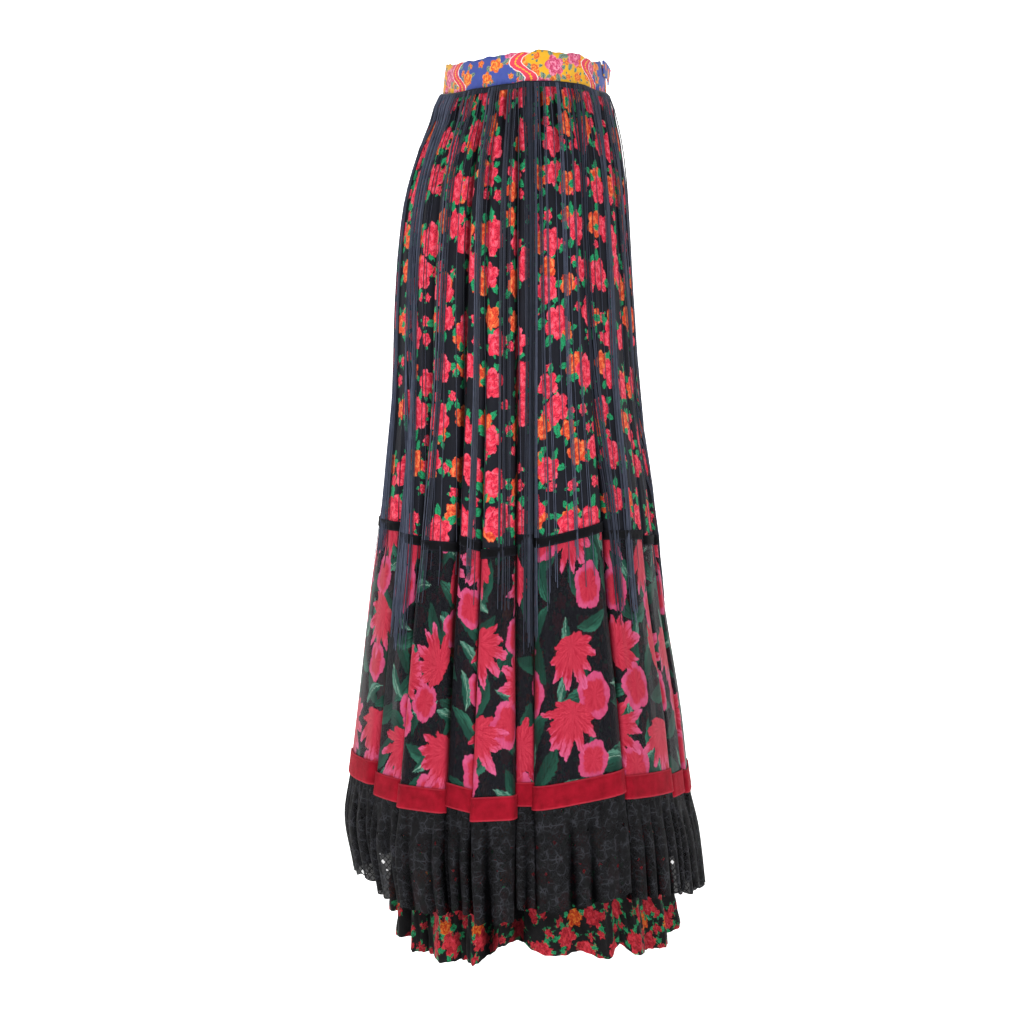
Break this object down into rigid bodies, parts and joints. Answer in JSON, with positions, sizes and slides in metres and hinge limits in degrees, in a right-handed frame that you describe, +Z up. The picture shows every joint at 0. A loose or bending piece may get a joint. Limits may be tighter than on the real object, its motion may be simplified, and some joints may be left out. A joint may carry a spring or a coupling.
{
  "type": "tiered maxi skirt",
  "caption": "Long gathered skirt as worn, with a printed waistband, long fringe, two printed tiers, velvet ribbon trims, a lace flounce and an underskirt.",
  "frame": {"origin": "middle of the waist, at half the waistband's height, where the wearer holds the skirt up", "axes": "+Z up the body, front towards -Y, the wearer's right side towards -X"},
  "size_m": [0.4773, 0.4065, 0.9923],
  "materials": {
    "waistband": "multicolour printed satin-faced cotton",
    "fringe": "dull navy rayon cord",
    "upper": "printed crepe, black ground with roses",
    "lower": "sheer printed chiffon, charcoal ground with large flowers",
    "black_velvet": "velvet",
    "red_velvet": "velvet with plain woven edges",
    "lace": "corded lace",
    "underskirt": "printed crepe, black ground with roses"
  },
  "bodies": {
    "root": {"waistband": "waistband", "waistband_tab": "waistband", "fringe": "fringe", "upper_tier_front": "upper", "upper_tier_back": "upper", "black_ribbon": "black_velvet", "lower_tier_front": "lower", "lower_tier_back": "lower", "red_ribbon": "red_velvet", "lace_flounce_front": "lace", "lace_flounce_back": "lace", "underskirt_front": "underskirt", "underskirt_back": "underskirt"}
  },
  "joints": []
}
